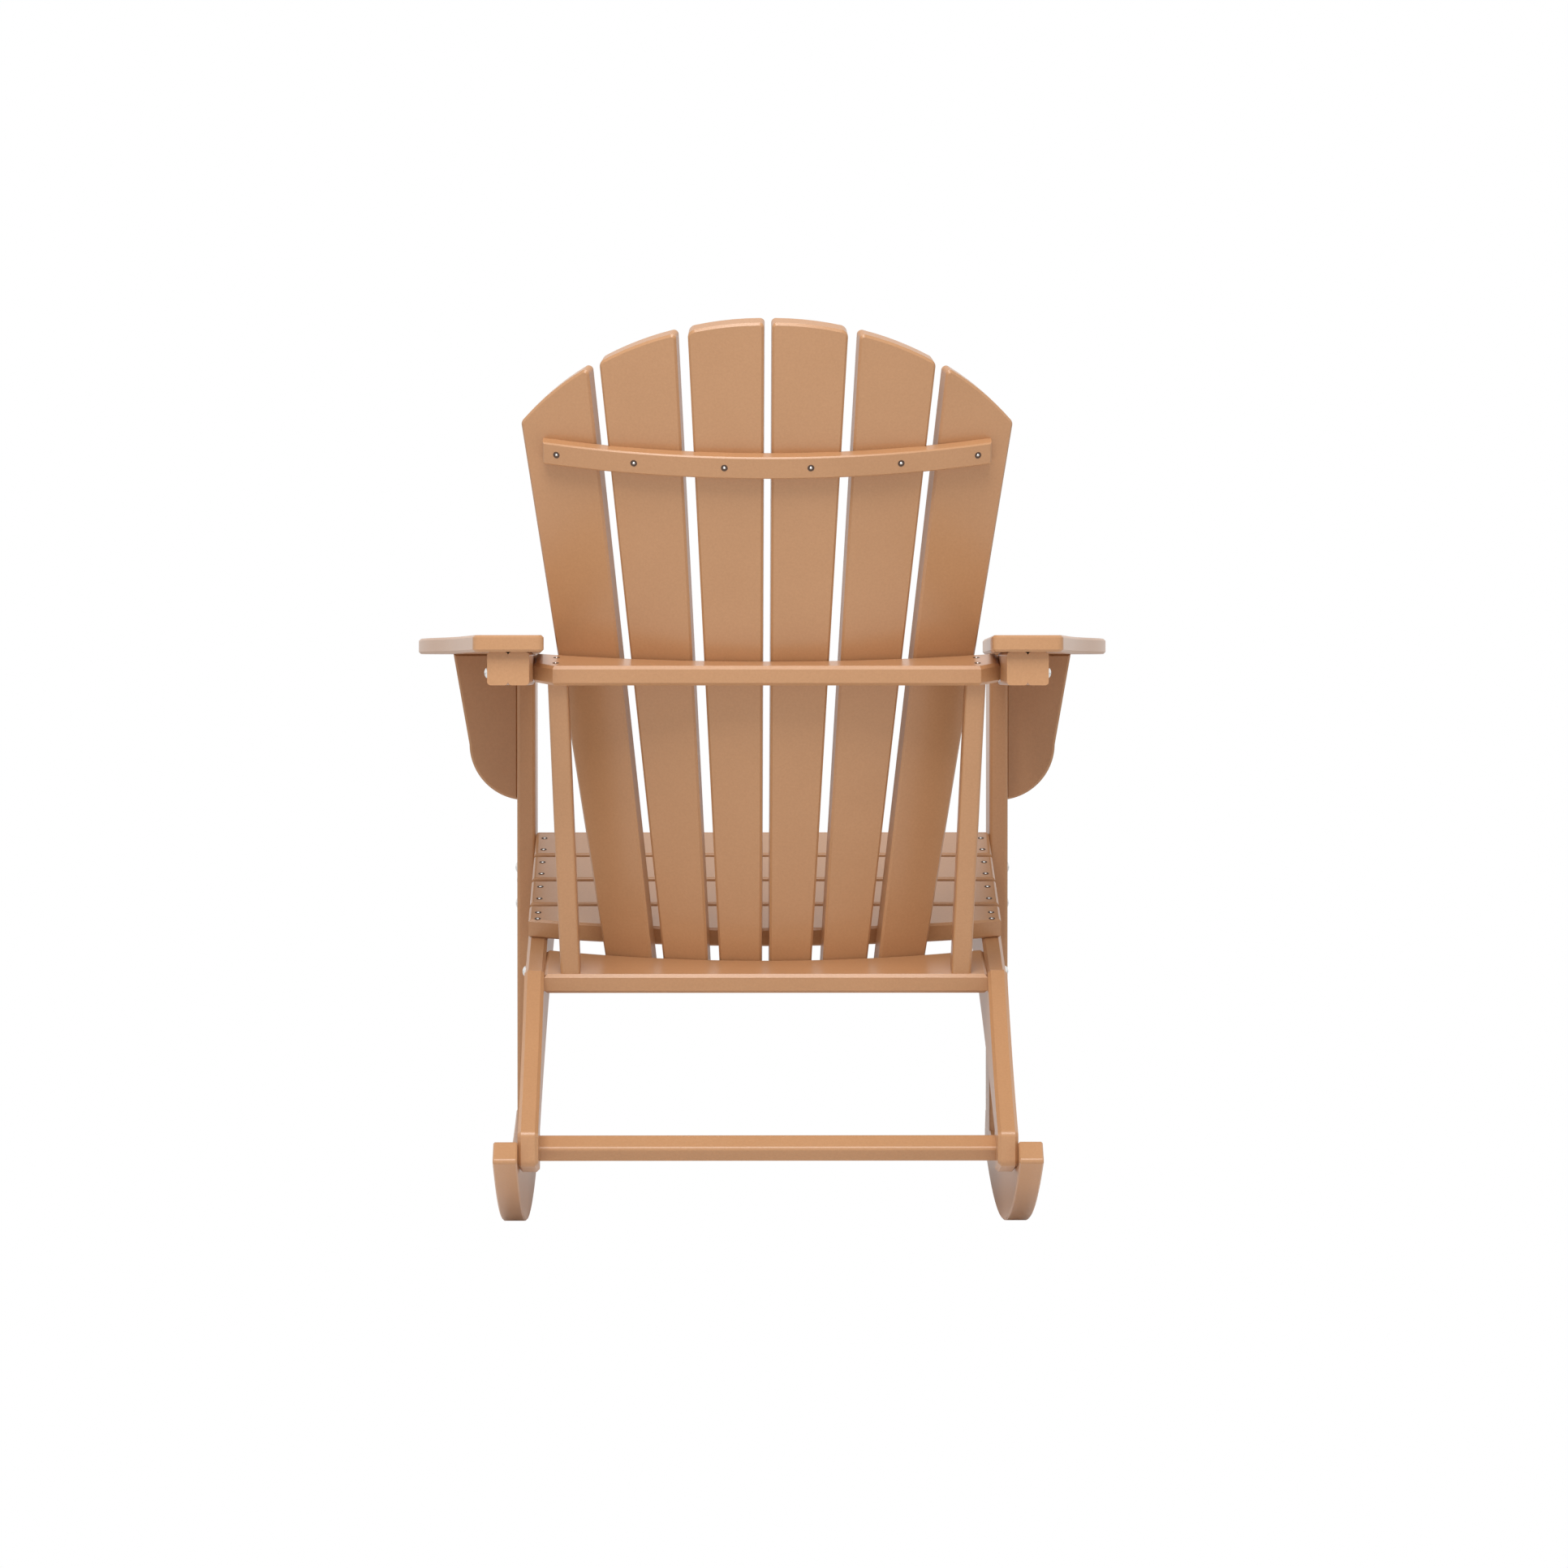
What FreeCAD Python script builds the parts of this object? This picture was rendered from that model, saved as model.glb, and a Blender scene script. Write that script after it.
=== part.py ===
# Rocking Adirondack chair, millimetres.
# The chair faces +Y, +Z is up and X = 0 is its plane of symmetry.
# The origin lies on the floor below the middle of the chair.
# Side outlines are drawn as (y, z) and made on the right; the left is their mirror image.
import FreeCAD, Part
from FreeCAD import Placement, Rotation, Vector

import math
import os

# Boards
frame_thickness = 22.0
rocker_thickness = 26.0
arm_thickness = 18.0
back_thickness = 20.0
cleat_thickness = 22.5
edge_round = 4.0
edge_chamfer = 2.5
frame_chamfer = 3.5
rocker_chamfer = 1.5
top_rail_chamfer = 1.5
corner_round = 8.0

# Side frames: the stringer's outer face carries the leg and the rocker
side_face_x = 270.0

# Rocker: two sole arcs meet on the floor, below the chair's centre of mass
rocker_rear_radius = 965.0
rocker_front_radius = 1350.0
rocker_contact_y = 11.8
rocker_rear_y = -412.7
rocker_front_y = 381.0
rocker_tip_inset = 27.0
rocker_tip_rise = 20.0
rocker_waist_y = 21.0
rocker_waist_height = 57.0
rocker_front_height = 97.0
rocker_rest_margin = 4.0
rocker_toe_height = 70.0

# Front leg and its corbel
leg_width = 90.0
leg_front_y = 362.0
corbel_top_width = 77.0
corbel_height = 174.0
corbel_knee_width = 58.0
corbel_knee_height = 66.0
corbel_belly_width = 45.0
corbel_belly_height = 27.0

# Arms
arm_underside = 646.0
arm_rear_y = -397.0
arm_front_y = 409.0
arm_inner_rear_x = 241.0
arm_inner_front_x = 268.0
arm_outer_rear_x = 317.0
arm_outer_front_x = 410.0
arm_flare_start = (345.0, -130.0)
arm_flare_hollow = (360.8, -16.4)
arm_flare_middle = (381.3, 88.8)
arm_flare_swell = (399.8, 192.0)
arm_flare_end_y = 300.0
arm_outer_round = 50.0
arm_inner_round = 24.0
cleat_inner_x = 257.2
cleat_height = 36.0
cleat_rear_y = -385.0
cleat_length = 200.0

# Seat
seat_slope = 17.2
seat_crest_y = 275.0
seat_crest_z = 433.8
seat_slat_width = 79.0
seat_slat_gap = 8.0
seat_slat_count = 4
seat_end_clearance = 0.5
seat_rear_bow = 31.0
nose_slope = -8.0
nose_clearance = 2.0
nose_width = 75.0
apron_width = 86.0
apron_top_z = 424.0

# Stringer
foot_rear_y = -385.0
foot_rear_z = 92.0
foot_heel_z = 128.0
foot_sole_length = 80.0
foot_sole_drop = 14.0
foot_instep_z = 123.0
stringer_shoulder_y = -145.0
stringer_shoulder_z = 292.0
stringer_rear_bend = (-262.0, 201.0)
stringer_lower_bend = (-20.0, 225.0)
stringer_front_depth = 78.0

# Back
recline = 22.9
back_foot_y = -74.6
back_foot_z = 275.0
back_length = 786.5
fan_radius = 650.0
crown_drop = 161.0
slat_gap = 13.0
middle_gap = 9.0
slat_foot_widths = (46.6, 49.6, 52.6)
slat_crown_widths = (82.8, 87.6, 87.2)
crown_outer_round = 9.0
crown_inner_round = 5.0
rail_seat_depth = 1.0

# Rails across the back
arm_rail_tilt = 10.0
arm_rail_rear_y = -260.0
arm_rail_top_z = 630.6
arm_rail_chamfer = 22.0
seat_rail_tilt = 12.0
seat_rail_rear_y = -147.0
seat_rail_top_z = 286.0
top_rail_drop = 161.5
top_rail_height = 25.0
top_rail_depth = 15.0
top_rail_half_length = 245.0

# Posts behind the back
post_depth = 40.0
post_tilt = 17.3
post_inset = 4.0
post_foot_x = 218.8
post_splay = 1.9

# Stretcher between the stringer feet
stretcher_width = 24.0
stretcher_thickness = 20.0
stretcher_tilt = 38.0
stretcher_y = -325.0
stretcher_z = 106.5

# Bolt heads on the outer faces, placed as (y, z)
bolt_head_radius = 6.0
bolt_crown_radius = 3.5
bolt_head_height = 4.5
leg_bolts = ((290.0, 392.0), (340.0, 375.0), (300.0, 349.0))
stringer_bolts = ((-90.0, 287.0),)
cleat_bolts = ((-360.0, 623.5),)

# Passes that settle a slat's corner on the crown's arc
crown_passes = 40

side_inner_x = side_face_x - frame_thickness
leg_outer_x = side_face_x + frame_thickness
seat_turn = math.sin(math.radians(seat_slope)) - math.sin(math.radians(nose_slope))
nose_gap = frame_thickness * seat_turn + nose_clearance
x_axis = Vector(1, 0, 0)
y_axis = Vector(0, 1, 0)
back_frame = Placement(Vector(0, back_foot_y, back_foot_z), Rotation(x_axis, 90 + recline))
seat_frame = Placement(Vector(0, seat_crest_y, seat_crest_z), Rotation(x_axis, seat_slope))


def flat(points):
    return [Vector(a, b, 0) for a, b in points]


def outline(*runs):
    """Close a chain of runs: two points are a line, three an arc."""
    edges = []
    for run in runs:
        points = flat(run)
        if len(points) == 2:
            edges.append(Part.LineSegment(*points).toShape())
        else:
            edges.append(Part.Arc(*points).toShape())
    return Part.Face(Part.Wire(edges))


def polygon(points):
    return Part.Face(Part.makePolygon(flat(list(points) + [points[0]])))


def corner_edges(board, spots):
    """Find the edges across the thickness that stand on the given outline points."""
    found = []
    for edge in board.Edges:
        start, end = edge.Vertexes[0].Point, edge.Vertexes[-1].Point
        upright = abs(start.x - end.x) < 1e-6 and abs(start.y - end.y) < 1e-6
        if upright and any(math.hypot(start.x - a, start.y - b) < 1e-3 for a, b in spots):
            found.append(edge)
    return found


def board(face, thickness, corners=(), rounded=False, chamfer=edge_chamfer):
    """Extrude an outline, round its named corners, then round or chamfer the rims of both wide faces."""
    solid = face.extrude(Vector(0, 0, thickness))
    for spots, radius in corners:
        solid = solid.makeFillet(radius, corner_edges(solid, spots))
    wide = sorted(solid.Faces, key=lambda f: f.Area)[-2:]
    rims = [edge for f in wide for edge in f.Edges]
    if rounded:
        return solid.makeFillet(edge_round, rims)
    return solid.makeChamfer(chamfer, rims)


def stand(solid, inner_x):
    """Turn a side outline drawn as (y, z) upright, with its inner face at inner_x."""
    turn = Rotation(Vector(0, 1, 0), Vector(0, 0, 1), Vector(1, 0, 0), "ZXY")
    solid.Placement = Placement(Vector(inner_x, 0, 0), turn).multiply(solid.Placement)
    return solid


def place(solid, placement):
    solid.Placement = placement.multiply(solid.Placement)
    return solid


def bar(low, high, rim=edge_round):
    """A straight rectangular board between two corners, with its long edges rounded."""
    size = [high[i] - low[i] for i in range(3)]
    solid = Part.makeBox(*size, Vector(*low))
    longest = max(size)
    long_edges = [edge for edge in solid.Edges if abs(edge.Length - longest) < 1e-6]
    return solid.makeFillet(rim, long_edges)


def save(name, solid):
    solid.exportStep(os.path.join("parts", name + ".step"))
    print(name, "volume", round(solid.Volume), "valid", solid.isValid())


def save_pair(name, solid):
    save(name + "_right", solid)
    save(name + "_left", solid.mirror(Vector(0, 0, 0), x_axis))


def rocker_sole(y):
    """A point of the sole, on the rear or the front arc."""
    radius = rocker_rear_radius if y < rocker_contact_y else rocker_front_radius
    return y, radius - math.sqrt(radius ** 2 - (y - rocker_contact_y) ** 2)


def rocker_face():
    tip, toe, contact = rocker_sole(rocker_rear_y), rocker_sole(rocker_front_y), (rocker_contact_y, 0)
    rear_middle = rocker_sole((rocker_rear_y + rocker_contact_y) / 2)
    front_middle = rocker_sole((rocker_front_y + rocker_contact_y) / 2)
    heel_top = (rocker_rear_y + rocker_tip_inset, tip[1] + rocker_tip_rise)
    toe_top = (rocker_front_y, rocker_toe_height)
    seat_front = (leg_front_y + rocker_rest_margin, rocker_front_height)
    face = outline(
        (tip, rear_middle, contact),
        (contact, front_middle, toe),
        (toe, toe_top),
        (toe_top, seat_front),
        (seat_front, (rocker_waist_y, rocker_waist_height), heel_top),
        (heel_top, tip))
    return face, [tip, heel_top, toe_top, toe]


def make_rocker():
    face, corners = rocker_face()
    rocker = board(face, rocker_thickness, [(corners, edge_round)], chamfer=rocker_chamfer)
    return stand(rocker, side_face_x)


def seat_under_z(y):
    drop = frame_thickness / math.cos(math.radians(seat_slope))
    return seat_crest_z - drop + (y - seat_crest_y) * math.tan(math.radians(seat_slope))


def nose_under(distance):
    """A point of the nose slat's underside, measured forward from its rear edge."""
    slope = math.radians(nose_slope)
    rear_y = seat_crest_y + nose_gap
    y = rear_y + distance * math.cos(slope) + frame_thickness * math.sin(slope)
    z = seat_crest_z + distance * math.sin(slope) - frame_thickness * math.cos(slope)
    return y, z


def make_stringer():
    nose_rear, nose_front = nose_under(0), nose_under(nose_width)
    slope = (nose_front[1] - nose_rear[1]) / (nose_front[0] - nose_rear[0])
    front_top = (leg_front_y, nose_rear[1] + slope * (leg_front_y - nose_rear[0]))
    front_low = (leg_front_y, front_top[1] - stringer_front_depth)
    crest = (seat_crest_y, seat_under_z(seat_crest_y))
    seat_rear_y = stringer_shoulder_y + frame_thickness
    seat_rear = (seat_rear_y, seat_under_z(seat_rear_y))
    shoulder = (stringer_shoulder_y, stringer_shoulder_z)
    heel = (foot_rear_y, foot_heel_z)
    sole_rear = (foot_rear_y, foot_rear_z)
    sole_front = (foot_rear_y + foot_sole_length, foot_rear_z - foot_sole_drop)
    instep = (sole_front[0], foot_instep_z)
    face = outline(
        (sole_rear, sole_front),
        (sole_front, instep),
        (instep, stringer_lower_bend, front_low),
        (front_low, front_top),
        (front_top, nose_rear),
        (nose_rear, crest),
        (crest, seat_rear),
        (seat_rear, shoulder),
        (shoulder, stringer_rear_bend, heel),
        (heel, sole_rear))
    corners = [([sole_rear, sole_front, front_low, shoulder, heel], corner_round)]
    return stand(board(face, frame_thickness, corners, chamfer=frame_chamfer), side_inner_x)


def make_leg():
    rear_y = leg_front_y - leg_width
    leg = bar((side_face_x, rear_y, rocker_toe_height), (leg_outer_x, leg_front_y, arm_underside))
    blank = stand(rocker_face()[0].extrude(Vector(0, 0, rocker_thickness)), side_face_x)
    return leg.cut(blank)


def make_corbel():
    top = arm_underside
    low = top - corbel_height
    inner_top, outer_top = (leg_outer_x, top), (leg_outer_x + corbel_top_width, top)
    knee = (leg_outer_x + corbel_knee_width, low + corbel_knee_height)
    belly = (leg_outer_x + corbel_belly_width, low + corbel_belly_height)
    inner_low = (leg_outer_x, low)
    face = outline((inner_top, outer_top), (outer_top, knee), (knee, belly, inner_low), (inner_low, inner_top))
    corbel = board(face, frame_thickness)
    middle_y = leg_front_y - leg_width / 2 + frame_thickness / 2
    return place(corbel, Placement(Vector(0, middle_y, 0), Rotation(x_axis, 90)))


def make_arm():
    inner_rear, inner_front = (arm_inner_rear_x, arm_rear_y), (arm_inner_front_x, arm_front_y)
    outer_rear, outer_front = (arm_outer_rear_x, arm_rear_y), (arm_outer_front_x, arm_front_y)
    flare_end = (arm_outer_front_x, arm_flare_end_y)
    face = outline(
        (inner_front, inner_rear),
        (inner_rear, outer_rear),
        (outer_rear, arm_flare_start),
        (arm_flare_start, arm_flare_hollow, arm_flare_middle),
        (arm_flare_middle, arm_flare_swell, flare_end),
        (flare_end, outer_front),
        (outer_front, inner_front))
    corners = [([outer_front], arm_outer_round), ([inner_front], arm_inner_round),
               ([inner_rear, outer_rear], corner_round)]
    return place(board(face, arm_thickness, corners), Placement(Vector(0, 0, arm_underside), Rotation()))


def make_cleat(inner_x):
    low = (inner_x, cleat_rear_y, arm_underside - cleat_height)
    high = (inner_x + cleat_thickness, cleat_rear_y + cleat_length, arm_underside)
    return bar(low, high)


def make_seat_slat(number):
    half = side_face_x - seat_end_clearance
    front = -(seat_slat_count - number) * (seat_slat_width + seat_slat_gap)
    rear = front - seat_slat_width
    if number == 1:
        rear_run = ((-half, rear + seat_rear_bow), (0, rear), (half, rear + seat_rear_bow))
    else:
        rear_run = ((-half, rear), (half, rear))
    face = outline(rear_run, (rear_run[-1], (half, front)), ((half, front), (-half, front)),
                   ((-half, front), rear_run[0]))
    slat = board(face, frame_thickness, rounded=number != 1)
    return place(slat, seat_frame.multiply(Placement(Vector(0, 0, -frame_thickness), Rotation())))


def make_nose_slat():
    half = side_face_x - seat_end_clearance
    face = polygon([(-half, 0), (half, 0), (half, nose_width), (-half, nose_width)])
    slat = board(face, frame_thickness, rounded=True)
    slat = place(slat, Placement(Vector(0, 0, -frame_thickness), Rotation()))
    return place(slat, Placement(Vector(0, seat_crest_y + nose_gap, seat_crest_z), Rotation(x_axis, nose_slope)))


def make_apron():
    low = (-leg_outer_x, leg_front_y, apron_top_z - apron_width)
    high = (leg_outer_x, leg_front_y + frame_thickness, apron_top_z)
    return bar(low, high)


def crown_station(x):
    """The crown's arc falls by crown_drop from the middle to the fan's outer line."""
    half = slat_sides(len(slat_crown_widths) - 1)[1][1]
    radius = (half ** 2 + crown_drop ** 2) / (2 * crown_drop)
    return back_length - radius + math.sqrt(radius ** 2 - x ** 2)


def meet_crown(foot_x, crown_x):
    """Follow a slat's side line up to the crown's arc."""
    station = back_length
    for _ in range(crown_passes):
        x = foot_x + (crown_x - foot_x) * station / back_length
        station = crown_station(x)
    return x, station


def slat_sides(number):
    """Inner and outer x of a slat at its foot and at the crown, number 0 beside the middle."""
    sides = []
    for widths in (slat_foot_widths, slat_crown_widths):
        inner = middle_gap / 2 + sum(widths[:number]) + number * slat_gap
        sides.append((inner, inner + widths[number]))
    return sides


def slat_placement(number):
    """Each slat lies flat against the fan's curve at its own middle line."""
    foot, crown = slat_sides(number)
    foot_x = sum(foot) / 2
    turn = math.atan((foot_x + sum(crown) / 2) / 2 / fan_radius)
    local = Placement(Vector(foot_x, 0, -foot_x ** 2 / (2 * fan_radius)), Rotation(y_axis, math.degrees(turn)))
    return foot_x, math.cos(turn), back_frame.multiply(local)


def slat_face(number):
    foot, crown = slat_sides(number)
    foot_x, narrowing, _ = slat_placement(number)

    def drawn(point):
        return (point[0] - foot_x) / narrowing, point[1]

    inner_top = meet_crown(foot[0], crown[0])
    outer_top = meet_crown(foot[1], crown[1])
    middle_x = (inner_top[0] + outer_top[0]) / 2
    top = [drawn(p) for p in (inner_top, (middle_x, crown_station(middle_x)), outer_top)]
    inner_foot, outer_foot = drawn((foot[0], 0)), drawn((foot[1], 0))
    face = outline((inner_foot, top[0]), tuple(top), (top[2], outer_foot), (outer_foot, inner_foot))
    corners = [([top[2]], crown_outer_round), ([top[0]], crown_inner_round),
               ([inner_foot, outer_foot], edge_round)]
    return face, corners


def make_back_slat(number):
    face, corners = slat_face(number)
    slat = board(face, back_thickness, corners)
    slat = place(slat, Placement(Vector(0, 0, -back_thickness), Rotation()))
    return place(slat, slat_placement(number)[2])


def slat_envelope():
    """The room that the slats take, from which the rails' seats are cut."""
    room = []
    for number in range(len(slat_foot_widths)):
        solid = slat_face(number)[0].extrude(Vector(0, 0, -2 * back_thickness))
        solid = place(solid, slat_placement(number)[2])
        room += [solid, solid.mirror(Vector(0, 0, 0), x_axis)]
    return room


def seat_slats_on(rail):
    for solid in slat_envelope():
        rail = rail.cut(solid)
    return rail


def straight_rail(rear_y, top_z, tilt, half_length, chamfer):
    """A level rail: straight behind, its front edge curved to carry the slats."""
    lean = math.radians(recline)
    offset = (back_foot_y - rear_y) * math.cos(lean) + (back_foot_z - top_z) * math.sin(lean)
    across = math.cos(lean - math.radians(tilt))
    middle = offset / across + rail_seat_depth
    end = middle + half_length ** 2 / (2 * fan_radius * across)
    rear_half = half_length - chamfer
    runs = [((-rear_half, 0), (rear_half, 0))]
    if chamfer:
        runs.append(((rear_half, 0), (half_length, chamfer)))
    runs += [((half_length, chamfer), (half_length, end)),
             ((half_length, end), (0, middle), (-half_length, end)),
             ((-half_length, end), (-half_length, chamfer))]
    if chamfer:
        runs.append(((-half_length, chamfer), (-rear_half, 0)))
    rail = board(outline(*runs), frame_thickness, chamfer=frame_chamfer)
    rail = place(rail, Placement(Vector(0, 0, -frame_thickness), Rotation()))
    return place(rail, Placement(Vector(0, rear_y, top_z), Rotation(x_axis, tilt)))


def make_arm_rail():
    rail = straight_rail(arm_rail_rear_y, arm_rail_top_z, arm_rail_tilt, cleat_inner_x, arm_rail_chamfer)
    return seat_slats_on(rail)


def make_seat_rail():
    rail = straight_rail(seat_rail_rear_y, seat_rail_top_z, seat_rail_tilt, side_inner_x, 0)
    return seat_slats_on(rail)


def make_top_rail():
    """A curved batten across the backs of the slats."""

    def bow(radius, x):
        return fan_radius - math.sqrt(radius ** 2 - x ** 2)

    half = top_rail_half_length
    rear, front = fan_radius + top_rail_depth, fan_radius - rail_seat_depth
    face = outline(
        ((-half, -bow(rear, half)), (0, -bow(rear, 0)), (half, -bow(rear, half))),
        ((half, -bow(rear, half)), (half, -bow(front, half))),
        ((half, -bow(front, half)), (0, -bow(front, 0)), (-half, -bow(front, half))),
        ((-half, -bow(front, half)), (-half, -bow(rear, half))))
    rail = board(face, top_rail_height, chamfer=top_rail_chamfer)
    across = Placement(Vector(0, back_length - top_rail_drop + top_rail_height / 2, 0), Rotation(x_axis, 90))
    return seat_slats_on(place(rail, back_frame.multiply(across)))


def make_post():
    rise = (arm_rail_top_z - seat_rail_top_z) / math.cos(math.radians(post_tilt))
    post = bar((-frame_thickness / 2, -post_depth, -post_depth), (frame_thickness / 2, rise + post_depth, 0))
    splay = Placement(Vector(post_foot_x, 0, 0), Rotation(Vector(0, 0, 1), -post_splay))
    foot = Vector(0, seat_rail_rear_y + post_inset, seat_rail_top_z)
    post = place(post, Placement(foot, Rotation(x_axis, 90 + post_tilt)).multiply(splay))
    reach = 4 * post_depth
    above = Part.makeBox(2 * leg_outer_x, 2 * reach, reach, Vector(-leg_outer_x, -reach, -frame_thickness))
    arm_plane = Placement(Vector(0, arm_rail_rear_y, arm_rail_top_z), Rotation(x_axis, arm_rail_tilt))
    below = Part.makeBox(2 * leg_outer_x, 2 * reach, reach, Vector(-leg_outer_x, -reach, -reach))
    seat_plane = Placement(Vector(0, seat_rail_rear_y, seat_rail_top_z), Rotation(x_axis, seat_rail_tilt))
    return post.cut(place(above, arm_plane)).cut(place(below, seat_plane))


def make_stretcher():
    low = (-side_inner_x, -stretcher_width / 2, -stretcher_thickness / 2)
    high = (side_inner_x, stretcher_width / 2, stretcher_thickness / 2)
    middle = Placement(Vector(0, stretcher_y, stretcher_z), Rotation(x_axis, stretcher_tilt))
    return place(bar(low, high), middle)


def make_bolt_heads():
    cleat_outer_x = cleat_inner_x + 2 * cleat_thickness
    heads = []
    for face_x, spots in ((leg_outer_x, leg_bolts), (side_face_x, stringer_bolts), (cleat_outer_x, cleat_bolts)):
        for y, z in spots:
            seat = Vector(face_x, y, z)
            head = Part.makeCone(bolt_head_radius, bolt_crown_radius, bolt_head_height, seat, x_axis)
            heads += [head, head.mirror(Vector(0, 0, 0), x_axis)]
    return Part.makeCompound(heads)


os.makedirs("parts", exist_ok=True)
save_pair("rocker", make_rocker())
save_pair("stringer", make_stringer())
save_pair("leg", make_leg())
save_pair("corbel", make_corbel())
save_pair("arm", make_arm())
save_pair("cleat_inner", make_cleat(cleat_inner_x))
save_pair("cleat_outer", make_cleat(cleat_inner_x + cleat_thickness))
save_pair("post", make_post())
for slat_number in range(len(slat_foot_widths)):
    save_pair("back_slat_%d" % (slat_number + 1), make_back_slat(slat_number))
for slat_number in range(1, seat_slat_count + 1):
    save("seat_slat_%d" % slat_number, make_seat_slat(slat_number))
save("seat_nose_slat", make_nose_slat())
save("seat_apron", make_apron())
save("top_rail", make_top_rail())
save("arm_rail", make_arm_rail())
save("seat_rail", make_seat_rail())
save("rocker_stretcher", make_stretcher())
save("bolt_heads", make_bolt_heads())
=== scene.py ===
import math
import bpy
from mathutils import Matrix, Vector


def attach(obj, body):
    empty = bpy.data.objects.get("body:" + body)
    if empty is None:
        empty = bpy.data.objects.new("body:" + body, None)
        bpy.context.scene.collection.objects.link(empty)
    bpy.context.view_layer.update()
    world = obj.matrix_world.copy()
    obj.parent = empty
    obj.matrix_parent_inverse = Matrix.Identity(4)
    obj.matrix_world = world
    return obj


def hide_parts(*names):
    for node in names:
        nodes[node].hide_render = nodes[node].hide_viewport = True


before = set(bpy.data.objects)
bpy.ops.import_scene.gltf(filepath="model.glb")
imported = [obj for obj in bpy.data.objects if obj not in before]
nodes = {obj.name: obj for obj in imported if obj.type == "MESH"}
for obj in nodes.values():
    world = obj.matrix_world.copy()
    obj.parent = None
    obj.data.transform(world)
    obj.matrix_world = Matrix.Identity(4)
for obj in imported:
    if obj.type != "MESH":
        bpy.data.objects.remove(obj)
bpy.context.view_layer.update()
print("stage: frame loaded")


def newMaterial(name):
    material = bpy.data.materials.new(name)
    material.use_nodes = True
    tree = material.node_tree
    shader = tree.nodes["Principled BSDF"]
    return material, tree, shader


def makeLumber():
    spec = {
        "pale": (0.516, 0.270, 0.130, 1), "deep": (0.474, 0.243, 0.113, 1),
        "deepStop": 0.35, "paleStop": 0.65,
        "cloudScale": 9.0, "speckScale": 420.0, "speckDetail": 4, "speckShare": 0.6, "grainScale": 900.0,
        "roughness": 0.30, "grainStrength": 0.16, "grainDepth": 0.0004,
    }
    material, tree, shader = newMaterial("lumber")
    link = tree.links.new
    where = tree.nodes.new("ShaderNodeTexCoord")
    cloud = tree.nodes.new("ShaderNodeTexNoise")  # broad, faint change of tone
    cloud.inputs["Scale"].default_value = spec["cloudScale"]
    speck = tree.nodes.new("ShaderNodeTexNoise")  # fine mottling
    speck.inputs["Scale"].default_value = spec["speckScale"]
    speck.inputs["Detail"].default_value = spec["speckDetail"]
    blend = tree.nodes.new("ShaderNodeMix")
    blend.inputs[0].default_value = spec["speckShare"]
    tone = tree.nodes.new("ShaderNodeValToRGB")
    tone.color_ramp.elements[0].position = spec["deepStop"]
    tone.color_ramp.elements[0].color = spec["deep"]
    tone.color_ramp.elements[1].position = spec["paleStop"]
    tone.color_ramp.elements[1].color = spec["pale"]
    grain = tree.nodes.new("ShaderNodeTexNoise")  # moulded skin
    grain.inputs["Scale"].default_value = spec["grainScale"]
    bump = tree.nodes.new("ShaderNodeBump")
    bump.inputs["Strength"].default_value = spec["grainStrength"]
    bump.inputs["Distance"].default_value = spec["grainDepth"]
    for texture in (cloud, speck, grain):
        link(where.outputs["Object"], texture.inputs["Vector"])
    link(cloud.outputs["Fac"], blend.inputs[2])
    link(speck.outputs["Fac"], blend.inputs[3])
    link(blend.outputs[0], tone.inputs["Fac"])
    link(tone.outputs["Color"], shader.inputs["Base Color"])
    link(grain.outputs["Fac"], bump.inputs["Height"])
    link(bump.outputs["Normal"], shader.inputs["Normal"])
    shader.inputs["Roughness"].default_value = spec["roughness"]
    return material


plainFinishes = {
    "steel": {"color": (0.78, 0.77, 0.75, 1), "roughness": 0.25, "metallic": 1.0},
    # recessShade is a flat dark brown that paints the shade inside the screw recesses
    "recessShade": {"color": (0.075, 0.040, 0.024, 1), "roughness": 0.7, "metallic": 0.0},
}


def makePlain(name):
    spec = plainFinishes[name]
    material, _, shader = newMaterial(name)
    shader.inputs["Base Color"].default_value = spec["color"]
    shader.inputs["Roughness"].default_value = spec["roughness"]
    shader.inputs["Metallic"].default_value = spec["metallic"]
    return material


lumber = makeLumber()
steel = makePlain("steel")
recessShade = makePlain("recessShade")
print("stage: materials")


def dressFrame():
    for name, node in nodes.items():
        node.data.materials.clear()
        node.data.materials.append(steel if name == "bolt_heads" else lumber)


dressFrame()
print("stage: boards")


smoothAngle = math.radians(40)


def joined(parts, name, material):
    bpy.ops.object.select_all(action="DESELECT")
    for part in parts:
        part.select_set(True)
    bpy.context.view_layer.objects.active = parts[0]
    bpy.ops.object.join()
    whole = bpy.context.view_layer.objects.active
    bpy.ops.object.transform_apply(location=True, rotation=True, scale=True)
    whole.name = name
    whole.data.name = name
    whole.data.materials.clear()
    whole.data.materials.append(material)
    bpy.ops.object.shade_smooth_by_angle(angle=smoothAngle)
    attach(whole, "root")
    return whole


def turned(normal):
    return Vector(normal).to_track_quat("Z", "Y").to_euler()


def mirrored(spots):
    pairs = list(spots)
    for point, normal in spots:
        pairs.append(((-point[0], point[1], point[2]), (-normal[0], normal[1], normal[2])))
    return pairs


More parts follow.
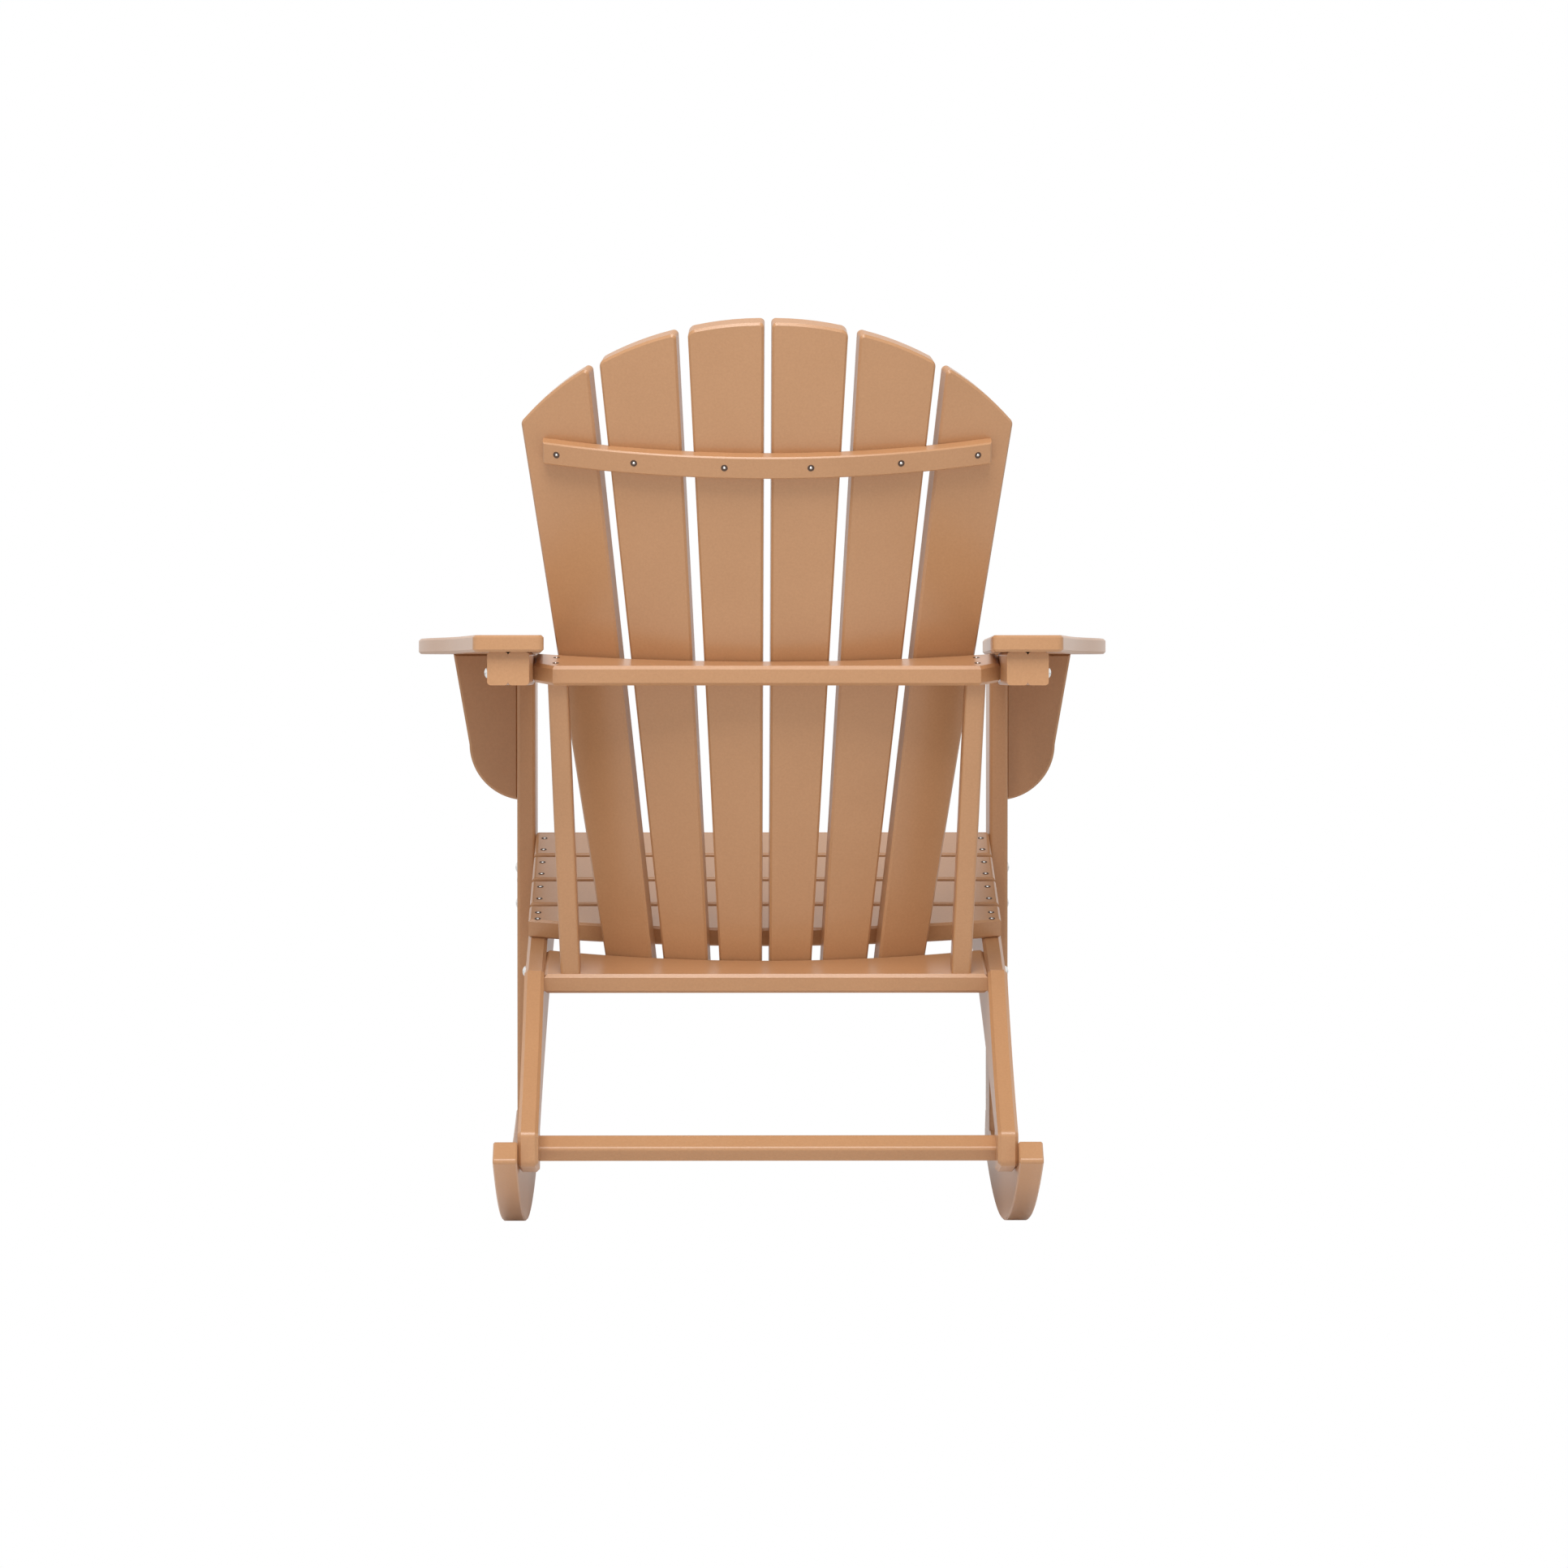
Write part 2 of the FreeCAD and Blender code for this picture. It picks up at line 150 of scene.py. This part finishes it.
def topRailSpots():
    rail = {"xs": (0.0470, 0.1454, 0.2300), "foot": (-0.0746, 0.275), "recline": math.radians(22.9),
            "station": 0.625, "fanRadius": 0.650, "rearRadius": 0.665}
    up = Vector((0, -math.sin(rail["recline"]), math.cos(rail["recline"])))
    out = Vector((0, -math.cos(rail["recline"]), -math.sin(rail["recline"])))
    start = Vector((0, rail["foot"][0], rail["foot"][1])) + up * rail["station"]
    spots = []
    for x in rail["xs"]:
        reach = math.sqrt(rail["rearRadius"] ** 2 - x ** 2)
        point = start + out * (reach - rail["fanRadius"]) + Vector((x, 0, 0))
        normal = (Vector((x, 0, 0)) + out * reach).normalized()
        spots.append((tuple(point), tuple(normal)))
    return spots


def slopeSpots(x, start, slope, distances):
    turn = math.radians(slope)
    normal = (0, -math.sin(turn), math.cos(turn))
    return [((x, start[0] + d * math.cos(turn), start[1] + d * math.sin(turn)), normal) for d in distances]


def seatSpots():
    seat = {"x": 0.259, "crest": (0.275, 0.4338), "slope": 17.2, "slatStep": 0.087,
            "insets": (0.022, 0.063),
            "rearInsets": (0.024, 0.045),  # the rear slat is bowed, so narrow at its ends
            "noseStart": (0.28657, 0.4338), "noseSlope": -8.0, "noseInsets": (0.017, 0.058)}
    distances = [-seat["slatStep"] * number - inset for number in range(3) for inset in seat["insets"]]
    distances += [-seat["slatStep"] * 3 - inset for inset in seat["rearInsets"]]
    spots = slopeSpots(seat["x"], seat["crest"], seat["slope"], distances)
    return spots + slopeSpots(seat["x"], seat["noseStart"], seat["noseSlope"], seat["noseInsets"])


def makeScrews():
    spec = {"recessRadius": 0.0037, "recessDepth": 0.0003, "recessSides": 24, "lift": 0.0002,
            "headRadius": 0.0019, "headSegments": 16, "headRings": 8}
    armRail = {"x": 0.2323, "start": (-0.260, 0.6306), "tilt": 10.0, "distances": (0.021, 0.056)}
    apron = {"x": 0.281, "frontY": 0.384, "heights": (0.365, 0.401)}
    spots = topRailSpots() + seatSpots()
    spots += [((apron["x"], apron["frontY"], z), (0, 1, 0)) for z in apron["heights"]]
    spots += slopeSpots(armRail["x"], armRail["start"], armRail["tilt"], armRail["distances"])
    recessShadeDiscs, heads = [], []
    for point, normal in mirrored(spots):
        away = Vector(normal)
        # a thin dark disc, 0.2 mm proud of the board, paints the shade of each screw recess
        bpy.ops.mesh.primitive_cylinder_add(
            vertices=spec["recessSides"], radius=spec["recessRadius"], depth=spec["recessDepth"],
            location=Vector(point) + away * (spec["lift"] - spec["recessDepth"] / 2), rotation=turned(normal))
        recessShadeDiscs.append(bpy.context.active_object)
        bpy.ops.mesh.primitive_uv_sphere_add(
            segments=spec["headSegments"], ring_count=spec["headRings"],
            radius=spec["headRadius"],
            location=Vector(point) - away * spec["headRadius"] / 2, rotation=turned(normal))
        heads.append(bpy.context.active_object)
    joined(recessShadeDiscs, "screwRecessShade", recessShade)
    joined(heads, "screwHeads", steel)


makeScrews()
print("stage: screws")


def makeBoltDomes():
    spec = {"radius": 0.006, "segments": 32, "rings": 16}
    rows = (  # face x, dome height, places as (y, z)
        {"x": 0.292, "height": 0.0025, "places": ((0.290, 0.392), (0.340, 0.375), (0.300, 0.349))},  # legs
        {"x": 0.270, "height": 0.004, "places": ((-0.090, 0.287),)},  # stringers
        {"x": 0.3022, "height": 0.004, "places": ((-0.360, 0.6235),)},  # cleats
    )
    domes = []
    for row in rows:
        spots = [((row["x"], y, z), (1, 0, 0)) for y, z in row["places"]]
        for point, normal in mirrored(spots):
            bpy.ops.mesh.primitive_uv_sphere_add(
                segments=spec["segments"], ring_count=spec["rings"], radius=spec["radius"],
                location=point, rotation=turned(normal))
            dome = bpy.context.active_object
            dome.scale = (1, 1, row["height"] / spec["radius"])
            bpy.ops.object.mode_set(mode="EDIT")
            bpy.ops.mesh.select_all(action="SELECT")
            # the half inside the board goes
            bpy.ops.mesh.bisect(plane_co=point, plane_no=normal, use_fill=True, clear_inner=True)
            bpy.ops.object.mode_set(mode="OBJECT")
            domes.append(dome)
    whole = joined(domes, "boltDomes", steel)
    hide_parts("bolt_heads")


makeBoltDomes()
print("stage: bolts")


def whiteWhereSeen(tree, plain, glow, reflected=False):
    ray = tree.nodes.new("ShaderNodeLightPath")
    choose = tree.nodes.new("ShaderNodeMixShader")
    seen = ray.outputs["Is Camera Ray"]
    if reflected:
        either = tree.nodes.new("ShaderNodeMath")
        either.operation = "MAXIMUM"
        tree.links.new(seen, either.inputs[0])
        tree.links.new(ray.outputs["Is Glossy Ray"], either.inputs[1])
        seen = either.outputs[0]
    tree.links.new(seen, choose.inputs[0])
    tree.links.new(plain.outputs[0], choose.inputs[1])
    tree.links.new(glow.outputs[0], choose.inputs[2])
    return choose


def makeFloor():
    spec = {"size": 60, "height": -0.0005, "color": (0.88, 0.88, 0.88, 1), "roughness": 0.9}
    bpy.ops.mesh.primitive_plane_add(size=spec["size"], location=(0, 0, spec["height"]))
    floor = bpy.context.active_object
    floor.name = "floor"
    material, tree, shader = newMaterial("floor")
    shader.inputs["Base Color"].default_value = spec["color"]
    shader.inputs["Roughness"].default_value = spec["roughness"]
    glow = tree.nodes.new("ShaderNodeEmission")
    glow.inputs["Color"].default_value = (1, 1, 1, 1)
    choose = whiteWhereSeen(tree, shader, glow)
    tree.links.new(choose.outputs[0], tree.nodes["Material Output"].inputs["Surface"])
    floor.data.materials.append(material)


def makeSky():
    spec = {"color": (1, 1, 1, 1), "fill": 0.54}
    world = bpy.data.worlds.new("studio")
    world.use_nodes = True
    bpy.context.scene.world = world
    tree = world.node_tree
    fill = tree.nodes["Background"]
    fill.inputs["Color"].default_value = spec["color"]
    fill.inputs["Strength"].default_value = spec["fill"]
    seen = tree.nodes.new("ShaderNodeBackground")
    seen.inputs["Color"].default_value = spec["color"]
    choose = whiteWhereSeen(tree, fill, seen, reflected=True)
    tree.links.new(choose.outputs[0], tree.nodes["World Output"].inputs["Surface"])


def makeLamp():
    lamp = {"at": (-0.4, -3.2, 4.4), "towards": (0, 0, 0.5), "size": 3.0, "watts": 205}
    data = bpy.data.lights.new("behind", "AREA")
    data.size = lamp["size"]
    data.energy = lamp["watts"]
    light = bpy.data.objects.new("behind", data)
    light.location = lamp["at"]
    aim = Vector(lamp["towards"]) - Vector(lamp["at"])
    light.rotation_euler = aim.to_track_quat("-Z", "Y").to_euler()
    bpy.context.collection.objects.link(light)


def makeCamera():
    view = {"at": (-0.0624, -6.609, 0.6226), "lens": 132.79, "sensor": 36, "pitch": -1.0933, "yaw": -0.7316}
    data = bpy.data.cameras.new("camera")
    data.lens = view["lens"]
    data.sensor_width = view["sensor"]
    camera = bpy.data.objects.new("camera", data)
    camera.location = view["at"]
    camera.rotation_euler = (math.radians(90 + view["pitch"]), 0, math.radians(view["yaw"]))
    bpy.context.collection.objects.link(camera)
    bpy.context.scene.camera = camera


makeFloor()
makeSky()
makeLamp()
makeCamera()
bpy.context.scene.view_settings.view_transform = "Standard"
print("stage: studio")
